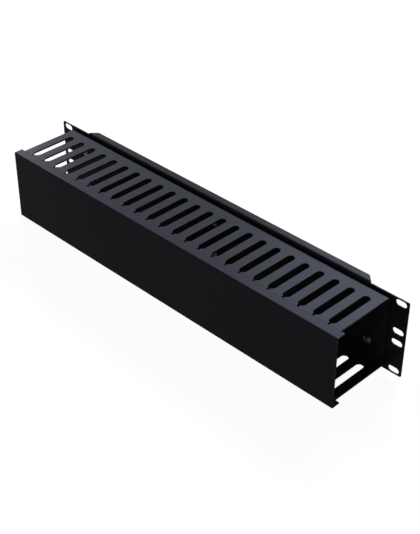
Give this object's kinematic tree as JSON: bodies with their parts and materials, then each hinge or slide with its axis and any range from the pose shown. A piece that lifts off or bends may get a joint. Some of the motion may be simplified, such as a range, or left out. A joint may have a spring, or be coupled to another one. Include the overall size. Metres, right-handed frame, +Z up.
{
  "type": "horizontal cable manager",
  "caption": "Flanged rack panel carrying an open-ended finger duct, slotted above and below, closed in front by a cover that clips over the fingertips.",
  "frame": {"origin": "middle of the rack slots' pattern, on the front face of the panel's ears", "axes": "+X along the panel, to the right seen from the front; +Y to the rear of the rack; +Z up"},
  "size_m": [0.4826, 0.0887, 0.0882],
  "materials": {
    "panel_coat": "satin",
    "duct_plastic": "satin",
    "cover_plastic": "satin",
    "rivet_metal": "satin",
    "mandrel_steel": "satin"
  },
  "bodies": {
    "manager": {"rack_panel": "panel_coat", "finger_duct": "duct_plastic", "rivet_upper_left": "rivet_metal", "rivet_upper_middle": "rivet_metal", "rivet_upper_right": "rivet_metal", "rivet_lower_left": "rivet_metal", "rivet_lower_middle": "rivet_metal", "rivet_lower_right": "rivet_metal", "mandrel_upper_left": "mandrel_steel", "mandrel_upper_middle": "mandrel_steel", "mandrel_upper_right": "mandrel_steel", "mandrel_lower_left": "mandrel_steel", "mandrel_lower_middle": "mandrel_steel", "mandrel_lower_right": "mandrel_steel"},
    "cover": {"front_cover": "cover_plastic"}
  },
  "joints": [
    {"name": "cover_pull", "type": "slide", "parent": "manager", "child": "cover", "axis": [0, -1, 0], "range_m": [0, 0.1]}
  ]
}
